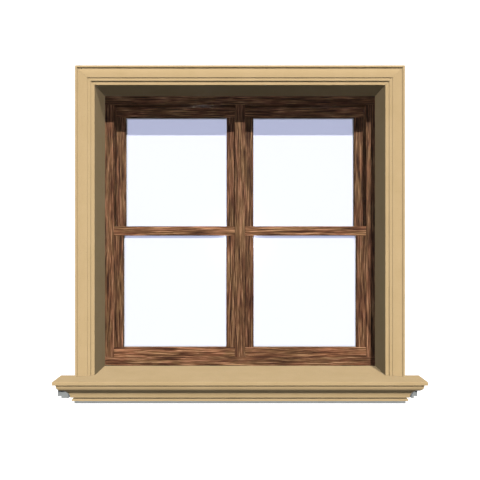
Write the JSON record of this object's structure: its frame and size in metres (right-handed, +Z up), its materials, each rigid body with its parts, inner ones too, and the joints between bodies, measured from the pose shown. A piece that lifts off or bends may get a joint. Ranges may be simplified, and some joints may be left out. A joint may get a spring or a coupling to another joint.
{
  "type": "window surround",
  "caption": "Moulded stone architrave and projecting sill on a concrete bed, framing a deep reveal with timber vertically sliding sash windows.",
  "frame": {"origin": "middle of the footprint, on the underside of the concrete bed", "axes": "+X to the right across the opening as seen from outside, +Y into the wall, +Z up"},
  "size_m": [1.48, 0.401, 1.3759],
  "materials": {
    "buff_stone": "fine sandy cast stone, matt",
    "grey_concrete": "plain grey concrete, matt",
    "brown_timber": "streaky brown stained timber, low sheen",
    "window_glass": "clear sheet glass, smooth"
  },
  "bodies": {
    "surround": {"surround_head": "buff_stone", "surround_jamb_left": "buff_stone", "surround_jamb_right": "buff_stone", "sill": "buff_stone", "sill_bed": "grey_concrete", "frame_sill_rail": "brown_timber", "frame_head": "brown_timber", "frame_jamb_left": "brown_timber", "frame_jamb_right": "brown_timber", "frame_mullion": "brown_timber"},
    "lower_sash_left": {"lower_sash_left_bottom_rail": "brown_timber", "lower_sash_left_top_rail": "brown_timber", "lower_sash_left_outer_stile": "brown_timber", "lower_sash_left_inner_stile": "brown_timber", "lower_sash_left_glass": "window_glass"},
    "lower_sash_right": {"lower_sash_right_bottom_rail": "brown_timber", "lower_sash_right_top_rail": "brown_timber", "lower_sash_right_outer_stile": "brown_timber", "lower_sash_right_inner_stile": "brown_timber", "lower_sash_right_glass": "window_glass"},
    "upper_sash_left": {"upper_sash_left_bottom_rail": "brown_timber", "upper_sash_left_top_rail": "brown_timber", "upper_sash_left_outer_stile": "brown_timber", "upper_sash_left_inner_stile": "brown_timber", "upper_sash_left_glass": "window_glass"},
    "upper_sash_right": {"upper_sash_right_bottom_rail": "brown_timber", "upper_sash_right_top_rail": "brown_timber", "upper_sash_right_outer_stile": "brown_timber", "upper_sash_right_inner_stile": "brown_timber", "upper_sash_right_glass": "window_glass"}
  },
  "joints": [
    {"name": "lower_sash_left_slide", "type": "slide", "parent": "surround", "child": "lower_sash_left", "axis": [0, 0, 1], "range_m": [0, 0.53]},
    {"name": "lower_sash_right_slide", "type": "slide", "parent": "surround", "child": "lower_sash_right", "axis": [0, 0, 1], "range_m": [0, 0.53]},
    {"name": "upper_sash_left_slide", "type": "slide", "parent": "surround", "child": "upper_sash_left", "axis": [0, 0, 1], "range_m": [-0.53, 0]},
    {"name": "upper_sash_right_slide", "type": "slide", "parent": "surround", "child": "upper_sash_right", "axis": [0, 0, 1], "range_m": [-0.53, 0]}
  ]
}
